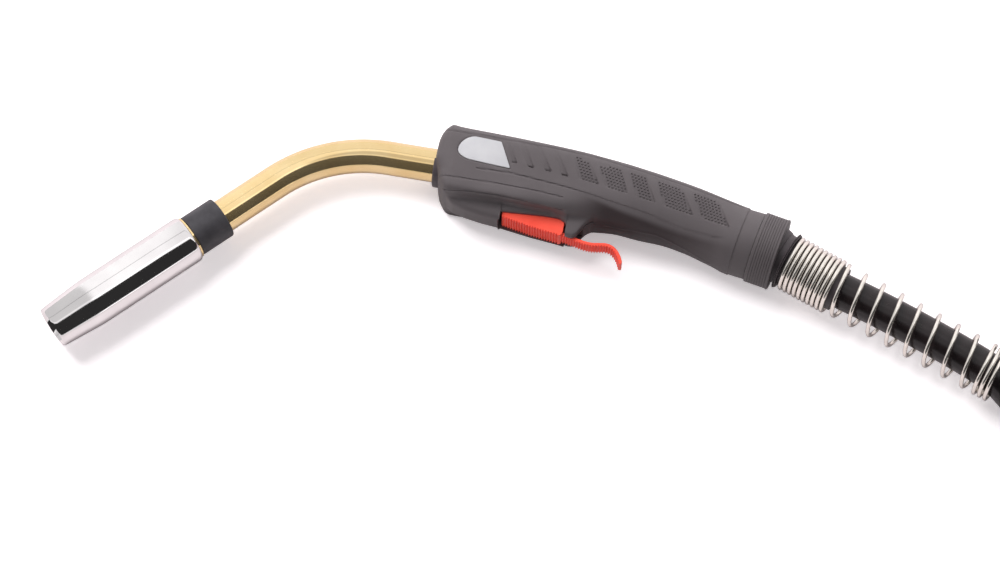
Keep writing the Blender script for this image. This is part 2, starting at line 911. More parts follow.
@dataclass
class SupportSpring:
    """The bright spring that keeps the cable from kinking, close wound at both ends.

    Its coils open gradually: they lag by the first of the opening's numbers, over turns given by the second.
    """

    start: float = 12.7
    close_radius: float = 14.7
    open_radius: float = 14.1
    narrowing: float = 1.4
    wire: float = 2.35
    pitch: float = 2.86
    close_turns: int = 10
    open_turns: int = 8
    open_pitch: float = 11.6
    opening: Pair = (1.9, 1.2)
    end_turns: int = 3
    end_pitch: float = 3.4
    per_turn: int = 36

    def advance(self, turn: float) -> float:
        """Give how far along the spring a turn lies, in millimetres.

        Args:
            turn: The turn.

        Returns:
            The distance from the spring's start.
        """
        close = min(turn, self.close_turns)
        opened = min(max(turn - self.close_turns, 0), self.open_turns)
        ended = max(turn - self.close_turns - self.open_turns, 0)
        lag, over = self.opening
        wide = self.open_pitch * opened - lag * (1 - math.exp(-opened / over))
        return close * self.pitch + wide + ended * self.end_pitch

    def radius(self, turn: float) -> float:
        """Give the coil's radius at a turn, in millimetres.

        Args:
            turn: The turn.

        Returns:
            The radius to the middle of the wire.
        """
        blend = min(max((turn - self.close_turns + self.narrowing / 2) / self.narrowing, 0.0), 1.0)
        blend = blend * blend * (3 - 2 * blend)
        return self.close_radius + (self.open_radius - self.close_radius) * blend

    def build(self, paints: Paints) -> None:
        """Wind the spring.

        Args:
            paints: The materials.
        """
        place = line_axes(BALL, SWIVEL_LINE)
        turns = self.close_turns + self.open_turns + self.end_turns
        points = []
        for i in range(turns * self.per_turn + 1):
            n = i / self.per_turn
            angle = 2 * math.pi * n
            r = self.radius(n)
            local = Vector((r * math.cos(angle), r * math.sin(angle), self.start + self.advance(n))) * MM
            points.append(place @ local)
        spring = wire("support_spring_wire", points, self.wire / 2, 3)
        finish(spring, paints.get(Coat.SPRING), "swivel", "spring_steel", "support_spring")


@dataclass
class Swivel:
    """The lock ring behind the handle, and the ball and tube that swivel in it."""

    ring_lines: tuple[float, ...] = (2.4, 3.8, 5.2, 6.6, 8.0, 9.4, 10.8, 12.2)
    line_width: float = 0.45
    line_depth: float = 0.3
    ring_radius: float = 20.0
    ring_inside: Outline = (
        (12.9, 20.0), (13.05, 20.22), (13.3, 20.3), (13.6, 20.22), (13.9, 19.9), (14.0, 19.5), (14.0, 15.75),
        (12.0, 16.25), (9.0, 16.55), (5.4, 16.15), (5.4, 18.35), (0.3, 18.35), (0.3, 19.7), (0.6, 20.0))
    ball_radius: float = 16.2
    ball_from: float = -45.0
    ball_to: float = 22.0
    ball_steps: int = 18
    tube: Outline = (
        (6.2, 14.95), (6.5, 14.5), (9.7, 14.1), (9.8, 15.9), (9.95, 16.35), (10.15, 16.55), (10.35, 16.4),
        (10.45, 15.5), (10.75, 15.5), (10.85, 15.95), (11.0, 16.1), (11.15, 15.95), (11.25, 15.6), (11.3, 12.7),
        (43.2, 12.7), (43.55, 12.55), (43.7, 12.2), (43.7, 10.25))
    bore: float = 10.25

    def build(self, paints: Paints) -> None:
        """Turn the ring and the ball.

        Args:
            paints: The materials.
        """
        lines = []
        half, low = self.line_width / 2, self.ring_radius - self.line_depth
        for middle in self.ring_lines:
            lines += [(middle - half, self.ring_radius), (middle - half / 3, low), (middle + half / 3, low),
                      (middle + half, self.ring_radius)]
        ring = turned("ribbed_lock_ring", (*lines, *self.ring_inside), line_axes(REAR, REAR_LINE), 128, 30.0)
        finish(ring, paints.get(Coat.HANDLE), "ring", "handle_plastic", "lock_ring")
        angles = [math.radians(self.ball_from + (self.ball_to - self.ball_from) * k / self.ball_steps)
                  for k in range(self.ball_steps + 1)]
        ball = [(self.ball_radius * math.sin(a), self.ball_radius * math.cos(a)) for a in angles]
        profile = [(ball[0][0], self.bore), *ball, *self.tube]
        support = turned("swivel_ball", profile, line_axes(BALL, SWIVEL_LINE), 128, 30.0)
        finish(support, paints.get(Coat.COLLAR), "swivel", "black_plastic", "support_ball")


# ---------------------------------------------------------------- front end


@dataclass
class FrontEnd:
    """The chromed nozzle, its brass ring, the insulator, the bent brass neck and its collar."""

    insulator_at: float = 36.0
    nozzle_at: float = 57.4
    neck_radius: float = 9.5
    neck_wall: float = 1.0
    neck_lead: float = 27.0
    bend_radius: float = 82.0
    neck_ahead: tuple[float, ...] = (40.0, 20.0, 0.0, -14.0)
    neck_end: tuple[float, ...] = (16.0, 36.0, 53.0)
    bend_steps: int = 48
    nozzle: Outline = (
        (0.0, 12.05), (0.0, 12.35), (0.12, 12.62), (0.4, 12.95), (0.9, 13.35), (1.5, 13.62), (2.3, 13.75),
        (20.0, 13.75), (42.0, 13.75), (61.5, 13.75), (64.5, 13.71), (67.5, 13.58), (70.5, 13.38), (79.5, 12.7),
        (88.4, 12.02), (89.6, 11.88), (90.2, 11.66), (90.5, 11.4), (90.4, 11.1), (90.1, 10.8), (87.3, 9.65),
        (86.6, 9.5), (85.5, 9.5), (63.5, 12.05), (30.0, 12.05))
    insulator: Outline = (
        (0.0, 9.55), (0.0, 11.3), (0.12, 11.6), (0.4, 11.82), (0.8, 11.9), (10.0, 11.9), (19.4, 11.9),
        (19.8, 11.82), (20.08, 11.6), (20.2, 11.3), (20.2, 10.6), (41.2, 10.6), (41.2, 9.55))
    sleeve: Outline = ((2.6, 9.55), (2.6, 11.95), (5.3, 11.95), (5.3, 9.55))
    lip: Outline = (
        (-0.5, 9.6), (-0.9, 9.9), (-1.0, 10.3), (-1.0, 11.0), (-0.85, 11.5), (-0.5, 11.85), (0.0, 12.0),
        (4.0, 12.0), (4.0, 9.6))
    lip_top: float = -0.6

    def neck_line(self) -> list[Vector]:
        """Give the middle of the neck from inside the handle to inside the insulator.

        Returns:
            The line's points, in metres.
        """
        out = [torch(x, 0.0) for x in self.neck_ahead]
        for k in range(self.bend_steps + 1):
            a = BEND * k / self.bend_steps
            out.append(torch(-self.neck_lead - self.bend_radius * math.sin(a),
                             -self.bend_radius * (1 - math.cos(a))))
        return out + [front_axes(t).translation for t in self.neck_end]

    def neck(self, paints: Paints) -> None:
        """Bend the neck's tube, open its ends and give it its wall.

        Args:
            paints: The materials.
        """
        tube = wire("brass_neck", self.neck_line(), self.neck_radius, 12)
        with editing(tube):
            bpy.ops.mesh.select_face_by_sides(number=4, type="GREATER", extend=False)
            bpy.ops.mesh.delete(type="ONLY_FACE")
        apply_modifier(tube, "SOLIDIFY", thickness=self.neck_wall * MM, offset=-1.0)
        tidy(tube, merge=0.000002, smooth=50.0)
        finish(tube, paints.get(Coat.NECK), "grip", "neck_brass", "neck_tube")

    def collar(self, paints: Paints) -> None:
        """Turn the collar in the handle's front, with its half-round lip below the neck.

        Args:
            paints: The materials.
        """
        place = axes(torch(0.0, 0.0), Vector((1, 0, 0)), Vector((0, 1, 0)))
        sleeve = turned("neck_collar_lip", self.sleeve, place, 64)
        lip = turned("collar_half", self.lip, place, 72, 25.0)
        with editing(lip):
            bpy.ops.mesh.bisect(plane_co=torch(0.0, self.lip_top), plane_no=Vector((0, 1, 0)), use_fill=True,
                                clear_outer=True)
        joined(sleeve, tidy(lip))
        finish(sleeve, paints.get(Coat.COLLAR), "grip", "collar_plastic", "neck_collar")

    def build(self, paints: Paints) -> None:
        """Build the front end.

        Args:
            paints: The materials.
        """
        self.neck(paints)
        self.collar(paints)
        nozzle = turned("chrome_nozzle", self.nozzle, front_axes(self.nozzle_at), 160, 28.0)
        finish(nozzle, paints.get(Coat.CHROME), "nozzle", "nozzle_chrome", "gas_nozzle")
        insulator = turned("insulator_ring", self.insulator, front_axes(self.insulator_at), 96, 28.0)
        finish(insulator, paints.get(Coat.INSULATOR), "grip", "insulator_plastic", "nozzle_insulator")


# ---------------------------------------------------------------- trigger


@dataclass
class Trigger:
    """The orange trigger: its body, its ribbed belly and its curved tail.

    The form of a rib gives how deep its groove is at shares of the spacing between ribs.
    """

    body: Outline = (
        (41.4, -26.5), (41.3, -25.9), (41.3, -18.4), (42, -17.8), (48, -17.8), (50, -20.4), (73.9, -20.4),
        (74.9, -20.6), (75.6, -21.2), (76.0, -22.1), (76.1, -23.0), (76.1, -29.6), (75.9, -30.9), (75.2, -31.9),
        (74.0, -32.4))
    belly: Outline = ((74.0, -32.4), (58.0, -30.3), (42.2, -27.2))
    tail: Outline = (
        (66, -29.2), (72, -30.2), (78, -31.2), (84, -32.6), (89, -33.6), (93, -33.8), (97, -33.2),
        (100.5, -32.8), (103.6, -33.4), (106.4, -35.4), (108.6, -38.4), (109.9, -41.4))
    half: float = 6.25
    tail_half: float = 4.6
    tail_thick: float = 2.3
    rib: float = 1.5
    groove: float = 0.8
    rib_form: Outline = (
        (0.0, 0.0), (0.30, 0.0), (0.42, 0.7), (0.55, 1.0), (0.78, 1.0), (0.90, 0.7))
    heading_step: float = 0.6
    rounding: float = 0.3
    tip_steps: int = 8

    def ribbed(self, line: Sequence[Vector], inwards: float) -> list[Vector]:
        """Cut rounded grooves across a line at the ribs' spacing.

        Args:
            line: The smooth line.
            inwards: Which side of the line, -1 or 1, the grooves are cut into.

        Returns:
            The line with its grooves.
        """
        points = np.array([tuple(p) for p in line])
        length = np.concatenate([[0.0], np.cumsum(np.hypot(*np.diff(points, axis=0).T))])
        ribs = int(length[-1] / self.rib)
        at = np.array([(k + share) * length[-1] / ribs for k in range(ribs) for share, _ in self.rib_form]
                      + [length[-1]])
        deep = np.array([d for _ in range(ribs) for _, d in self.rib_form] + [0.0]) * self.groove * inwards

        def spot(where: np.ndarray) -> np.ndarray:
            """Give the points of the line at lengths along it."""
            return np.stack([np.interp(where, length, points[:, k]) for k in (0, 1)], axis=1)

        along = spot(at + self.heading_step) - spot(at - self.heading_step)
        along /= np.hypot(along[:, 0], along[:, 1])[:, None]
        out = spot(at) + np.stack([-along[:, 1], along[:, 0]], axis=1) * deep[:, None]
        return [Vector(p) for p in out]

    def curve(self, knots: Sequence[Pair], steps: int) -> list[Vector]:
        """Run a smooth line through knots.

        Args:
            knots: The points that the line passes.
            steps: The steps between two knots.

        Returns:
            The line's points.
        """
        p = [Vector(k) for k in knots]
        p = [2 * p[0] - p[1], *p, 2 * p[-1] - p[-2]]
        out = []
        for i in range(1, len(p) - 2):
            for k in range(steps):
                t = k / steps
                out.append(0.5 * (2 * p[i] + (p[i + 1] - p[i - 1]) * t
                                  + (2 * p[i - 1] - 5 * p[i] + 4 * p[i + 1] - p[i + 2]) * t * t
                                  + (3 * p[i] - p[i - 1] - 3 * p[i + 1] + p[i + 2]) * t ** 3))
        return out + [p[-2]]

    def slab(self, name: str, outline: Sequence[Vector], half: float) -> Piece:
        """Raise an outline to both sides of the middle plane and round its edges.

        Args:
            name: The piece's name.
            outline: Its outline, seen from the side.
            half: Half its width, in millimetres.

        Returns:
            The piece.
        """
        obj = plate(name, outline, -half, 2 * half)
        tidy(obj, merge=0.000002, smooth=30.0)
        bevel(obj, self.rounding, 80.0)
        return tidy(obj, merge=0.000001, smooth=32.0)

    def build(self, paints: Paints) -> None:
        """Build the trigger.

        Args:
            paints: The materials.
        """
        belly = self.ribbed([Vector(p) for p in self.belly], -1.0)
        body = self.slab("trigger_lever", [Vector(p) for p in self.body[:-1]] + belly, self.half)
        middle = self.curve(self.tail, 5)
        headings = [(middle[min(i + 1, len(middle) - 1)] - middle[max(i - 1, 0)]).normalized()
                    for i in range(len(middle))]
        sides = [Vector((-h.y, h.x)) * self.tail_thick / 2 for h in headings]
        end, along = middle[-1], headings[-1]
        across = Vector((-along.y, along.x))
        cap = [end + (across * math.cos(a) + along * math.sin(a)) * self.tail_thick / 2
               for a in (math.pi * k / self.tip_steps for k in range(1, self.tip_steps))]
        under = self.ribbed([m - s for m, s in zip(middle, sides)], 1.0)
        tail = self.slab("trigger_tail", [m + s for m, s in zip(middle, sides)] + cap + under[::-1],
                         self.tail_half)
        joined(body, tail)
        finish(body, paints.get(Coat.TRIGGER), "trigger_lever", "trigger_orange", "trigger")


# ---------------------------------------------------------------- handle


def ease(value: np.ndarray) -> np.ndarray:
    """Turn 0 to 1 into a smooth step, held at both ends."""
    v = np.clip(value, 0.0, 1.0)
    return v * v * (3.0 - 2.0 * v)


def rise(value: np.ndarray, low: float, width: float) -> np.ndarray:
    """Go smoothly from 0 to 1 as a value passes from low over a width."""
    return ease((value - low) / width)


def inwards(x: np.ndarray, y: np.ndarray, start: Sequence[float], end: Sequence[float]) -> np.ndarray:
    """Give how far points lie to the right of the line from start to end."""
    (ax, ay), (bx, by) = start, end
    return ((x - ax) * (by - ay) - (y - ay) * (bx - ax)) / math.hypot(bx - ax, by - ay)


def smooth_table(knots: np.ndarray, values: np.ndarray, at: np.ndarray) -> np.ndarray:
    """Read a table along a smooth line that never swings past its values.

    Args:
        knots: Where the values stand, rising.
        values: One value for each knot.
        at: Where to read the table.

    Returns:
        The values there.
    """
    steps = np.diff(knots)
    slopes = np.diff(values) / steps
    tangent = np.zeros(len(knots))
    tangent[0], tangent[-1] = slopes[0], slopes[-1]
    for i in range(1, len(knots) - 1):
        if slopes[i - 1] * slopes[i] > 0:
            tangent[i] = 2.0 / (1.0 / slopes[i - 1] + 1.0 / slopes[i])
    i = np.clip(np.searchsorted(knots, at) - 1, 0, len(steps) - 1)
    h = steps[i]
    t = np.clip((at - knots[i]) / h, 0.0, 1.0)
    a = (1 + 2 * t) * (1 - t) ** 2
    b = t * (1 - t) ** 2
    c = t * t * (3 - 2 * t)
    d = t * t * (t - 1)
    return a * values[i] + b * h * tangent[i] + c * values[i + 1] + d * h * tangent[i + 1]


@dataclass(frozen=True)
class Track:
    """A narrow groove drawn along a line on the handle's cheek, flat over a share of its width."""

    points: Outline
    width: float
    depth: float
    floor: float = 0.25

    def cut(self, x: np.ndarray, y: np.ndarray) -> np.ndarray:
        """Give how deep the groove is at each point.

        Args:
            x: The points' places along the handle.
            y: Their heights.

        Returns:
            The depths, in millimetres.
        """
        nearest = np.full(x.shape, 1e9)
        for (ax, ay), (bx, by) in zip(self.points[:-1], self.points[1:]):
            dx, dy = bx - ax, by - ay
            t = np.clip(((x - ax) * dx + (y - ay) * dy) / (dx * dx + dy * dy), 0.0, 1.0)
            nearest = np.minimum(nearest, np.hypot(x - ax - t * dx, y - ay - t * dy))
        wall = (1.0 - self.floor) * self.width
        return self.depth * ease(1.0 - (nearest - self.floor * self.width) / wall)


@dataclass(frozen=True)
class Louvre:
    """A four-sided recess that is flush at its upper edge and deepest at its lower one.

    A plain one is deeper still along its foot, and a low lip stands along the right side of each.
    """

    corners: Outline
    depth: float
    studded: bool = False
    wall: float = 0.4
    left_wall: float = 0.9
    foot: float = 0.7
    foot_width: float = 1.2
    lip: float = 0.60
    lip_width: float = 0.6

    def sides(self, x: np.ndarray, y: np.ndarray) -> list[np.ndarray]:
        """Give the distances inwards from the upper, right, lower and left edge."""
        return [inwards(x, y, self.corners[i], self.corners[(i + 1) % 4]) for i in range(4)]

    def cut(self, x: np.ndarray, y: np.ndarray) -> np.ndarray:
        """Give how deep the recess is at each point.

        Args:
            x: The points' places along the handle.
            y: Their heights.

        Returns:
            The depths, in millimetres, less than nothing on the lip.
        """
        upper, right, lower, left = self.sides(x, y)
        down = np.clip(upper / np.maximum(upper + lower, 0.01), 0.0, 1.0)
        across = np.clip(left / np.maximum(left + right, 0.01), 0.0, 1.0)
        nearest = np.minimum(np.minimum(right, lower), upper + self.wall)
        edge = ease(nearest / self.wall + 0.3) * ease(left / self.left_wall + 0.3)
        foot = 0.0 if self.studded else self.foot * ease((self.foot_width - lower) / 0.5)
        ends = rise(lower, -0.3, 0.5) * rise(upper, -0.3, 0.5)
        lip = ease((self.lip_width - np.abs(right + 0.3)) / 0.4) * ends
        return self.depth * (0.1 + 0.9 * down * (0.4 + 0.6 * across) + foot) * edge - self.lip * lip

    def studs(self, pitch: float) -> list[Triple]:
        """Give the middle of each stud in the recess and the angle of its rows.

        Args:
            pitch: The distance between studs.

        Returns:
            Points (x, y, angle).
        """
        (ax, ay), (bx, by) = self.corners[3], self.corners[2]
        angle = math.atan2(by - ay, bx - ax)
        found = []
        for row in range(40):
            for column in range(-40, 40):
                u = (column + 0.5 * (row % 2)) * pitch
                v = (row + 0.6) * pitch * 0.87
                x = ax + u * math.cos(angle) - v * math.sin(angle)
                y = ay + u * math.sin(angle) + v * math.cos(angle)
                if min(float(s) for s in self.sides(np.float64(x), np.float64(y))) > pitch * 0.42:
                    found.append((x, y, angle))
        return found


class Half(Enum):
    """The two halves that the handle is screwed together from."""

    UPPER = 1.0
    LOWER = -1.0


@dataclass
class Handle:
    """The two-part handle: its curved grip, trigger housing, grooves, louvres and studs.

    Each station gives its place, top, underside and half width, how square its upper and lower halves are,
    and its lean in degrees. The channel's lines give a depth, and the angles between which it lies.
    """

    stations: tuple[tuple[float, ...], ...] = (
        (-1.5, 13.6, -13.4, 15.8, 3, 3.8, 0), (-0.4, 16.4, -15.8, 17.8, 3.4, 5.4, 0),
        (2, 19.6, -18.2, 19.1, 3.8, 7.5, 0), (5.5, 21.6, -20.1, 19.8, 4, 10, 0),
        (10, 21.1, -20.7, 20, 4, 12, 0), (35, 20.2, -21.2, 20, 4, 12, 0),
        (62, 19, -22, 19.8, 4, 8, 0), (82, 18, -22.5, 19.2, 3.8, 3.6, 0),
        (92, 17.2, -22.4, 18.6, 3.6, 2.6, 0), (102, 16.4, -22.4, 18, 3.4, 2.2, 0),
        (118, 14.2, -24, 17.5, 3.2, 2, 2), (131, 12, -24.7, 17.2, 3, 2, 5),
        (146, 9, -27.4, 17.2, 2.8, 2, 9), (160, 5.6, -31.6, 18.2, 2.5, 2, 11),
        (173, 3, -35.4, 19.2, 2.2, 2, 11), (181.4, 2.3, -36.7, 19.5, 2, 2, 11))
    keel: Outline = (
        (4.5, -16), (6, -18.6), (8, -20.8), (10.5, -22.6), (13, -23.9), (20, -26.1), (30, -27.8), (40.3, -28.8),
        (40.5, -24.2), (52, -23.4), (66, -22.2), (73, -22), (76, -23.2), (77.2, -25.4), (77.35, -31.7),
        (79, -32.2), (81.5, -32.3), (83.5, -31.2), (86, -26.5), (89, -21), (91.5, -16))
    far_keel: Outline = ((40.5, -28.1), (58, -30.7), (75, -32.5), (77.2, -32.7))
    keel_half: float = 9.0
    cavity: Pair = (39.4, 77.25)
    cavity_half: float = 6.6
    cavity_roof: float = -15.5
    smooth_foot: Pair = (36.0, 92.0)
    ear_roof: Outline = ((77.3, -20), (80, -23.5), (86, -25.5), (92, -28))
    ear_half: float = 5.1
    rear_step: float = 172.3
    first_rows: tuple[float, ...] = (-1.5, -1.2, -0.8, -0.4, 0.2, 0.9, 1.6, 2.3)
    row_step: float = 0.42
    around: int = 150
    upper_share: float = 0.62
    corner_turn: float = 0.86
    foot_steps: tuple[float, ...] = (6.1, 5.6, 5.12, 5.08, 4.5, 3.9, 3.3, 2.6, 1.9, 1.2, 0.6, 0.25, 0.0)
    stud_pitch: float = 1.9
    lines: tuple[Track, ...] = (
        Track(((23.7, -6.5), (42.4, -6.1), (72.6, -8.8), (95.1, -11.4), (111.4, -13.5), (124.5, -15.7)),
              0.6, 0.55),
        Track(((2.6, -14.1), (29.3, -13.8), (53.5, -14.0), (73.1, -15.3)), 0.6, 0.55),
        Track(((124.5, -15.7), (139.3, -19.4), (156.7, -22.1)), 0.6, 0.4),
        Track(((2.0, 14.3), (22.3, 14.6), (40.7, 14.4), (59.5, 14.2), (89.4, 13.2), (114.7, 9.8), (137.0, 6.2),
               (156.8, 2.2), (171.8, -0.8)), 0.8, 0.7))
    louvres: tuple[Louvre, ...] = (
        Louvre(((36.9, 12.0), (39.4, 12.0), (45.2, 0.6), (42.4, 0.2)), 1.0),
        Louvre(((44.3, 12.8), (47.7, 13.0), (54.9, -0.7), (51.5, -0.6)), 1.15),
        Louvre(((53.4, 12.6), (56.7, 12.7), (64.7, -1.1), (61.3, -1.3)), 1.15),
        Louvre(((62.8, 12.0), (66.2, 12.1), (74.3, -2.3), (70.6, -2.3)), 1.15),
        Louvre(((73.8, 11.6), (84.0, 10.4), (91.8, -3.8), (80.4, -2.6)), 1.0, True),
        Louvre(((88.6, 9.8), (102.9, 8.4), (107.8, -5.9), (95.2, -4.3)), 1.0, True),
        Louvre(((105.8, 8.4), (116.2, 7.2), (123.8, -8.4), (112.9, -6.8)), 1.0, True),
        Louvre(((121.8, 6.0), (136.4, 4.4), (145.4, -12.4), (128.2, -9.2)), 1.0, True),
        Louvre(((141.8, 1.8), (156.8, 0.9), (166.0, -16.4), (150.2, -13.2)), 1.0, True))
    channel: Outline = ((6, 0.2), (12, 0.5), (25, 1.2), (40, 1.8), (68, 1.9), (75.5, 0.0))
    channel_top: Outline = (
        (4, 35.5), (21, 42.0), (37, 43.0), (48, 42.0), (62, 39.0), (76, 35.5))
    channel_foot: Outline = ((4, 30.0), (12, 24.5), (30, 21.2), (39, 20.2), (76, 18.5))
    seam: Track = Track(
        ((92, 4.6), (98.5, 5.6), (106.7, 5.2), (115, 6.4), (126, 6.6), (140, 3.9), (158, 0.4)), 0.8, 0.32)
    badge: Outline = (
        (11.6, 3), (11.7, 5.2), (12.6, 7.6), (14.0, 9.5), (15.8, 11.1), (17.6, 12.1), (19.6, 12.7),
        (34.0, 12.0), (34.6, 11.7), (41.7, -2.9), (41.5, -3.4), (30, -2.7), (19, -1.9), (16.4, -1.3),
        (14.0, -0.2), (12.4, 1.2))
    badge_top: float = 19.87
    badge_thick: float = 0.9
    badge_lean: float = -2.5
    badge_pocket: float = 0.55
    fall: float = 0.55
    parting: float = 0.28
    parting_half: float = 0.3
    rear_depth: float = 0.5
    crease: float = 0.85
    lean: Pair = (1.6, 2.9)
    screws: tuple[Triple, ...] = ((13, 14.4, 12.1), (66, 13.6, 12.1), (24, -15.3, 12.1), (165, -24.3, 10.1))
    well_radius: float = 3.05
    well_wall: float = 0.06
    front_square: float = 7.0
    housing_square: float = 16.0
    sharp: float = 26.0
    softer: float = 17.0
    seat_radius: float = 12.06
    seat_depth: float = 5.4
    bore: float = 0.02
    socket: Outline = ((0.0, 17.6), (8.0, 17.6), (8.0, 16.6), (-9.6, 16.6), (-9.6, 0.02))
    stud_levels: Outline = ((-0.3, 0.82), (0.62, 0.36))
    stud_turn: float = 0.78

    def rows(self) -> np.ndarray:
        """Give the places of the skin's cross-sections along the handle.

        Returns:
            The places, closer together where the skin turns sharply.
        """
        exact = [self.cavity[0] - 0.04, self.cavity[0] + 0.04, 40.3, 40.5, 77.2, 77.35,
                 self.rear_step - 0.1, self.rear_step + 0.2, REAR[0]]
        even = [x for x in np.arange(2.8, 181.2, self.row_step) if min(abs(x - e) for e in exact) > 0.12]
        return np.array(sorted([*self.first_rows, *even, *exact]))

    def section(self, x: float, half: Half) -> tuple[np.ndarray, np.ndarray, float, float]:
        """Draw half of a cross-section, evenly spaced from the top to the underside.

        Args:
            x: The section's place.
            half: Which half of the handle it belongs to.

        Returns:
            The heights above the section's middle, the half widths, the middle and the lean.
        """
        table = np.array(self.stations)
        top, bottom, wide_half, up, down, lean = (
            float(smooth_table(table[:, 0], table[:, k], np.float64(x))) for k in range(1, 7))
        middle, reach = (top + bottom) / 2, (top - bottom) / 2
        keel = np.array(self.keel)
        foot = float(np.interp(x, keel[:, 0], keel[:, 1], left=-10.0, right=-10.0))
        far = np.array(self.far_keel)
        if half is Half.LOWER and far[0, 0] <= x <= far[-1, 0]:
            foot = float(np.interp(x, far[:, 0], far[:, 1]))
        low = middle - foot
        square = self.front_square if x < self.cavity[0] else self.housing_square
        pillar = float(rise(np.float64(x), 70, 6) * (1 - rise(np.float64(x), 90, 3)))
        blend = self.sharp - self.softer * pillar

        def radius(angle: np.ndarray) -> np.ndarray:
            """Give the section's radius at angles from its top.

            Args:
                angle: The angles, in radians.

            Returns:
                The radii, in millimetres.
            """
            c, s = np.abs(np.cos(angle)), np.abs(np.sin(angle))
            full = np.where(np.cos(angle) >= 0, up, down)
            oval = ((c / reach) ** full + (s / wide_half) ** full) ** (-1 / full)
            under = np.cos(angle) < 0
            wall = ((c / max(low, 1.0)) ** square + (s / self.keel_half) ** square) ** (-1 / square)
            both = (oval ** blend + wall ** blend) ** (1 / blend)
            return np.where(under, np.maximum(both, oval), oval)

        def foot_turn(wide: float, turn: float, rounds: int, most: float) -> float:
            """Find the angle from the underside at which the section is as wide as asked.

            Args:
                wide: The half width.
                turn: A first guess.
                rounds: How many times the guess is mended.
                most: The largest sine that it may have.

            Returns:
                The angle, in radians.
            """
            for _ in range(rounds):
                turn = math.asin(min(wide / float(radius(np.float64(math.pi - turn))), most))
            return turn

        edge = self.cavity_half + 0.02
        angle = foot_turn(edge, 0.4, 12, 0.9)
        sweep = np.linspace(0.0, math.pi - angle, 700)
        r = radius(sweep)
        v, z = r * np.cos(sweep), r * np.sin(sweep)
        length = np.concatenate([[0], np.cumsum(np.hypot(np.diff(v), np.diff(z)))])
        corner = float(np.interp(math.pi - self.corner_turn, sweep, length))
        upper = round(self.around * self.upper_share)
        even = np.concatenate([np.linspace(0, corner, upper, endpoint=False),
                               np.linspace(corner, length[-1], self.around - upper)])
        v, z = np.interp(even, length, v), np.interp(even, length, z)
        flat_z = np.array([edge - 0.04, *self.foot_steps])
        turns = [foot_turn(wide, 0.2, 10, 0.95) for wide in flat_z]
        flat_v = np.array([-float(radius(np.float64(math.pi - t))) * math.cos(t) for t in turns])
        if self.cavity[0] < x < self.cavity[1]:
            flat_v[:] = self.cavity_roof - middle
        ears = np.array(self.ear_roof)
        if self.cavity[1] <= x < ears[-1, 0]:
            roof = float(np.interp(x, ears[:, 0], ears[:, 1])) - middle
            flat_v = np.where(flat_z < self.ear_half, np.maximum(flat_v, roof), flat_v)
        return np.concatenate([v, flat_v]), np.concatenate([z, flat_z]), middle, math.radians(lean)

    def relief(self, x0: np.ndarray, x: np.ndarray, y: np.ndarray, z: np.ndarray, half: Half) -> np.ndarray:
        """Add up how deep the skin is cut at each point.

        Args:
            x0: The sections' places.
            x: The points' places along the handle.
            y: Their heights.
            z: Their distances from the parting plane.
            half: Which half this is.

        Returns:
            The depths, in millimetres.
        """
        # The grooves on the cheek.
        cheek = rise(z, 9.0, 2.0)
        depth = np.zeros(x.shape)
        for line in self.lines:
            depth = np.maximum(depth, line.cut(x, y) * cheek)
        # The lower rear, which lies deeper than the groove above it.
        edge = np.array(self.lines[0].points + self.lines[2].points)
        below = np.interp(x, edge[:, 0], edge[:, 1]) - y
        reach = rise(x, 76, 10) * (1 - rise(x, 158, 8)) * rise(z, 2, 6)
        depth = np.maximum(depth, self.fall * rise(below, 0.0, 0.5) * reach)
        # The louvres and the studded panels, whose lips stand up.
        for louvre in self.louvres:
            cut = louvre.cut(x, y) * rise(z, 7.0, 3.0)
            depth = np.where(cut < 0.0, depth + cut, np.maximum(depth, cut))
        # The badge's pocket.
        if half is Half.UPPER:
            outline = np.array(self.badge)
            sides = [inwards(x, y, a, b) for a, b in zip(outline, np.roll(outline, -1, axis=0))]
            depth = np.maximum(depth, self.badge_pocket * rise(np.min(sides, axis=0), -0.55, 0.3) * cheek)
        # The parting line on the back, the raised seam underneath and the step before the lock ring.
        depth += self.parting * np.exp(-((z / self.parting_half) ** 2)) * ((x0 > 3) & (y > -14))
        if half is Half.UPPER:
            depth -= self.seam.cut(x, z) * ((x0 > 90) & (y < -14))
        depth += self.rear_depth * rise(x0, self.rear_step, 0.3)
        return depth

    def set_back(self, x0: np.ndarray, y: np.ndarray) -> np.ndarray:
        """Give how far the handle's front leans back, most of it below the neck.

        Args:
            x0: The sections' places.
            y: The points' heights.

        Returns:
            The shift along the handle, in millimetres.
        """
        above, below = self.lean
        return (above + below * rise(-y, 1.0, 9.0)) * (1.0 - rise(x0, -1.5, 16.0))

    def gutter(self, x0: np.ndarray, v: np.ndarray, z: np.ndarray) -> np.ndarray:
        """Give the depth of the hollow between the cheek and the trigger housing.

        Args:
            x0: The sections' places.
            v: The points' heights above the section's middle.
            z: Their distances from the parting plane.

        Returns:
            The depths, in millimetres.
        """
        path, top, foot = (np.array(line) for line in (self.channel, self.channel_top, self.channel_foot))
        most = np.interp(x0, path[:, 0], path[:, 1], left=0.0, right=0.0)
        high = np.radians(np.interp(x0, top[:, 0], top[:, 1]))
        low = np.radians(np.interp(x0, foot[:, 0], foot[:, 1]))
        angle = np.arctan2(z, -v)
        share = (angle - low) / np.maximum(high - low, 0.02)
        hollow = np.clip(share / 0.5, 0.0, 1.0) * ease((1.0 - share) / 0.07 + 0.3)
        ends = rise(x0, 3.0, 2.0) * rise(-x0, -76.0, 3.0)
        crease = self.crease * np.exp(-(((share - 1.0) / 0.04) ** 2)) * ends
        return most * np.where((share > 0) & (share < 1.05), hollow, 0.0) + crease

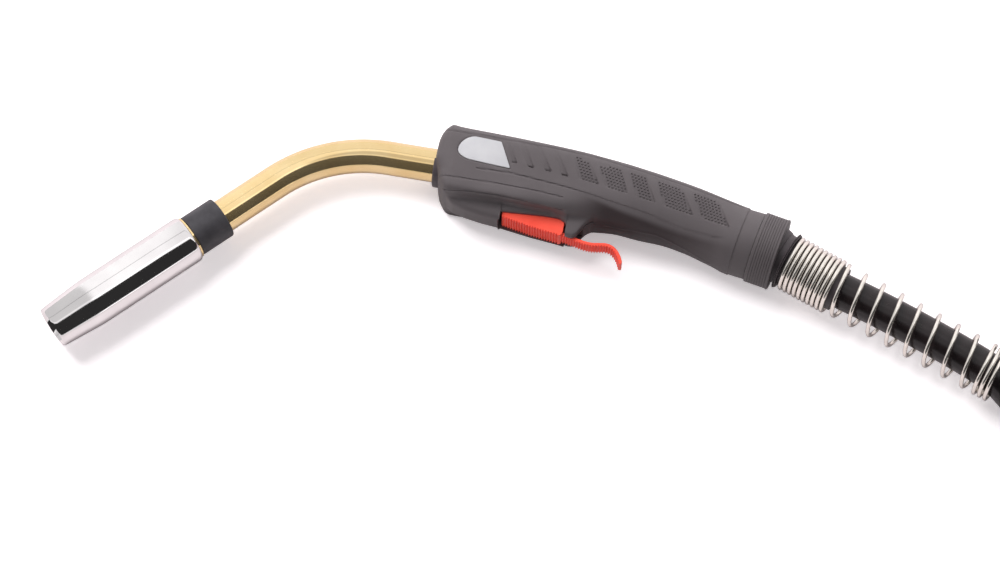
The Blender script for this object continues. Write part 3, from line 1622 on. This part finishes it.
    def wells(self, grid: np.ndarray) -> np.ndarray:
        """Sink a round well over each screw's head.

        Args:
            grid: The skin's points, as (x, y, distance from the parting plane).

        Returns:
            The points with the wells in them.
        """
        out = grid.copy()
        for x, y, seat in self.screws:
            away = np.hypot(grid[..., 0] - x, grid[..., 1] - y)
            cheek = grid[..., 2] > seat
            inside = cheek & (away < self.well_radius)
            foot, brim = self.well_radius - self.well_wall, self.well_radius + self.well_wall
            for ring, radius in ((inside & (away > self.well_radius - 0.45), foot),
                                 (cheek & ~inside & (away < self.well_radius + 0.4), brim)):
                scale = (radius / np.maximum(away, 0.1))[ring, None]
                out[ring, :2] = (grid[ring, :2] - (x, y)) * scale + (x, y)
            out[inside, 2] = seat
        return out

    def skin(self, half: Half) -> Piece:
        """Build one half of the handle as a closed shape.

        Args:
            half: Which half.

        Returns:
            The half, with its louvres, grooves, trigger cavity and rear socket.
        """
        rows = self.rows()
        sections = [self.section(float(x), half) for x in rows]
        v = np.array([s[0] for s in sections])
        z = np.array([s[1] for s in sections])
        middle = np.array([s[2] for s in sections])[:, None]
        lean = np.array([s[3] for s in sections])[:, None]
        x0 = np.repeat(rows[:, None], v.shape[1], axis=1)
        x, y = x0 + v * np.sin(lean), middle + v * np.cos(lean)
        depth = self.relief(x0, x + self.set_back(x0, y), y, z, half) + self.gutter(x0, y, z)
        flat = np.arange(v.shape[1]) >= self.around
        depth = np.where(flat[None, :] & (x0 > self.smooth_foot[0]) & (x0 < self.smooth_foot[1]), 0.0, depth)
        reach = np.hypot(v, z)
        share = 1.0 - depth / np.maximum(reach, 1.0)
        v, zz = v * share, z * share
        zz = np.where(z == 0.0, 0.0, zz)
        x, y = x0 + v * np.sin(lean), middle + v * np.cos(lean)
        grid = np.stack([x + self.set_back(x0, y), y, zz], axis=-1)
        if half is Half.LOWER:
            grid = self.wells(grid)
        turn = np.linspace(0.0, math.pi, grid.shape[1])

        def ring(x: float, y: float, up: Pair, radius: float) -> np.ndarray:
            """Give a half circle round a point, with the grid's own count of points."""
            high = radius * np.cos(turn)
            return np.stack([x + high * up[0], y + high * up[1], radius * np.sin(turn)], axis=-1)

        upright = (0.0, 1.0)
        lip = ring(rows[0], 0.0, upright, self.seat_radius)
        lip[:, 0] += self.set_back(lip[:, 0], lip[:, 1])
        front = [ring(self.seat_depth, 0.0, upright, radius) for radius in (self.bore, self.seat_radius)]
        c, s, _ = REAR_LINE
        rear = [ring(REAR[0] + t * c, REAR[1] + t * s, (-s, c), radius) for t, radius in self.socket]
        allrows = np.concatenate([np.array([*front, lip]), grid, np.array(rear)])
        allrows[..., 2] *= half.value
        count, wide = allrows.shape[:2]
        points = [torch(*p) for p in allrows.reshape(-1, 3)]
        faces = []
        for i in range(count - 1):
            for j in range(wide - 1):
                a = i * wide + j
                faces.append((a, a + 1, a + wide + 1, a + wide))
        top = [i * wide for i in range(count)]
        underside = [i * wide + wide - 1 for i in range(count)]
        faces.append(tuple(top + underside[::-1]))
        name = "handle_upper_half" if half is Half.UPPER else "handle_lower_half"
        return tidy(new_piece(name, points, [], faces), merge=0.000004, smooth=42.0)

    def stud_field(self, skin: Piece, half: Half) -> Piece:
        """Stand small blunt studs in the louvres, square to the skin.

        Args:
            skin: The half that the studs stand on.
            half: Which half that is.

        Returns:
            The studs as one mesh.
        """
        tree = BVHTree.FromObject(skin, bpy.context.evaluated_depsgraph_get())
        points, faces = [], []
        down = Vector((0, 0, -half.value))
        for louvre in self.louvres:
            if not louvre.studded:
                continue
            for x, y, angle in louvre.studs(self.stud_pitch):
                spot, normal, _, _ = tree.ray_cast(torch(x, y, 40.0 * half.value), down)
                if spot is None:
                    continue
                heading = angle + self.stud_turn
                side = Vector((math.cos(heading), math.sin(heading), 0))
                place = axes(spot, normal, side)
                base = len(points)
                for level, size in self.stud_levels:
                    for k in range(4):
                        a = math.pi / 2 * k
                        points.append(place @ (Vector((size * math.cos(a), size * math.sin(a), level)) * MM))
                for k in range(4):
                    n = (k + 1) % 4
                    faces.append((base + k, base + n, base + 4 + n, base + 4 + k))
                faces.append((base + 4, base + 5, base + 6, base + 7))
                faces.append((base + 3, base + 2, base + 1, base))
        return new_piece(skin.name + "_studs", points, [], faces)

    def film(self, paints: Paints) -> None:
        """Make the bare badge that lies in its pocket on the upper cheek.

        Args:
            paints: The materials.
        """
        obj = plate("badge_film", self.badge, self.badge_top - self.badge_thick, self.badge_thick)
        bevel(obj, 0.22, 50.0)
        tidy(obj, merge=0.000002, smooth=30.0)
        pivot = Matrix.Translation(torch(0.0, 5.0, self.badge_top))
        lean = Matrix.Rotation(math.radians(self.badge_lean), 4, "X")
        obj.data.transform(pivot @ lean @ pivot.inverted())
        finish(obj, paints.get(Coat.BADGE), "grip", "badge_white", "badge")

    def build(self, paints: Paints) -> None:
        """Build both halves and the badge.

        Args:
            paints: The materials.
        """
        for half, node in ((Half.UPPER, "handle_shell_upper"), (Half.LOWER, "handle_shell_lower")):
            skin = self.skin(half)
            joined(skin, self.stud_field(skin, half))
            finish(skin, paints.get(Coat.HANDLE), "grip", "handle_plastic", node)
        self.film(paints)


def main() -> None:
    """Build the torch's classes in order and log each piece."""
    logging.basicConfig(level=logging.INFO, format="%(message)s")
    Studio().build()
    paints = Paints()
    paints.nodes()
    builders: list[tuple[str, Callable[[Paints], None]]] = [
        ("cable", Cable().build),
        ("support spring", SupportSpring().build),
        ("swivel", Swivel().build),
        ("front end", FrontEnd().build),
        ("trigger", Trigger().build),
        ("handle", Handle().build),
    ]
    for label, build in builders:
        build(paints)
        LOG.info("built the %s", label)


if __name__ == "__main__":
    main()
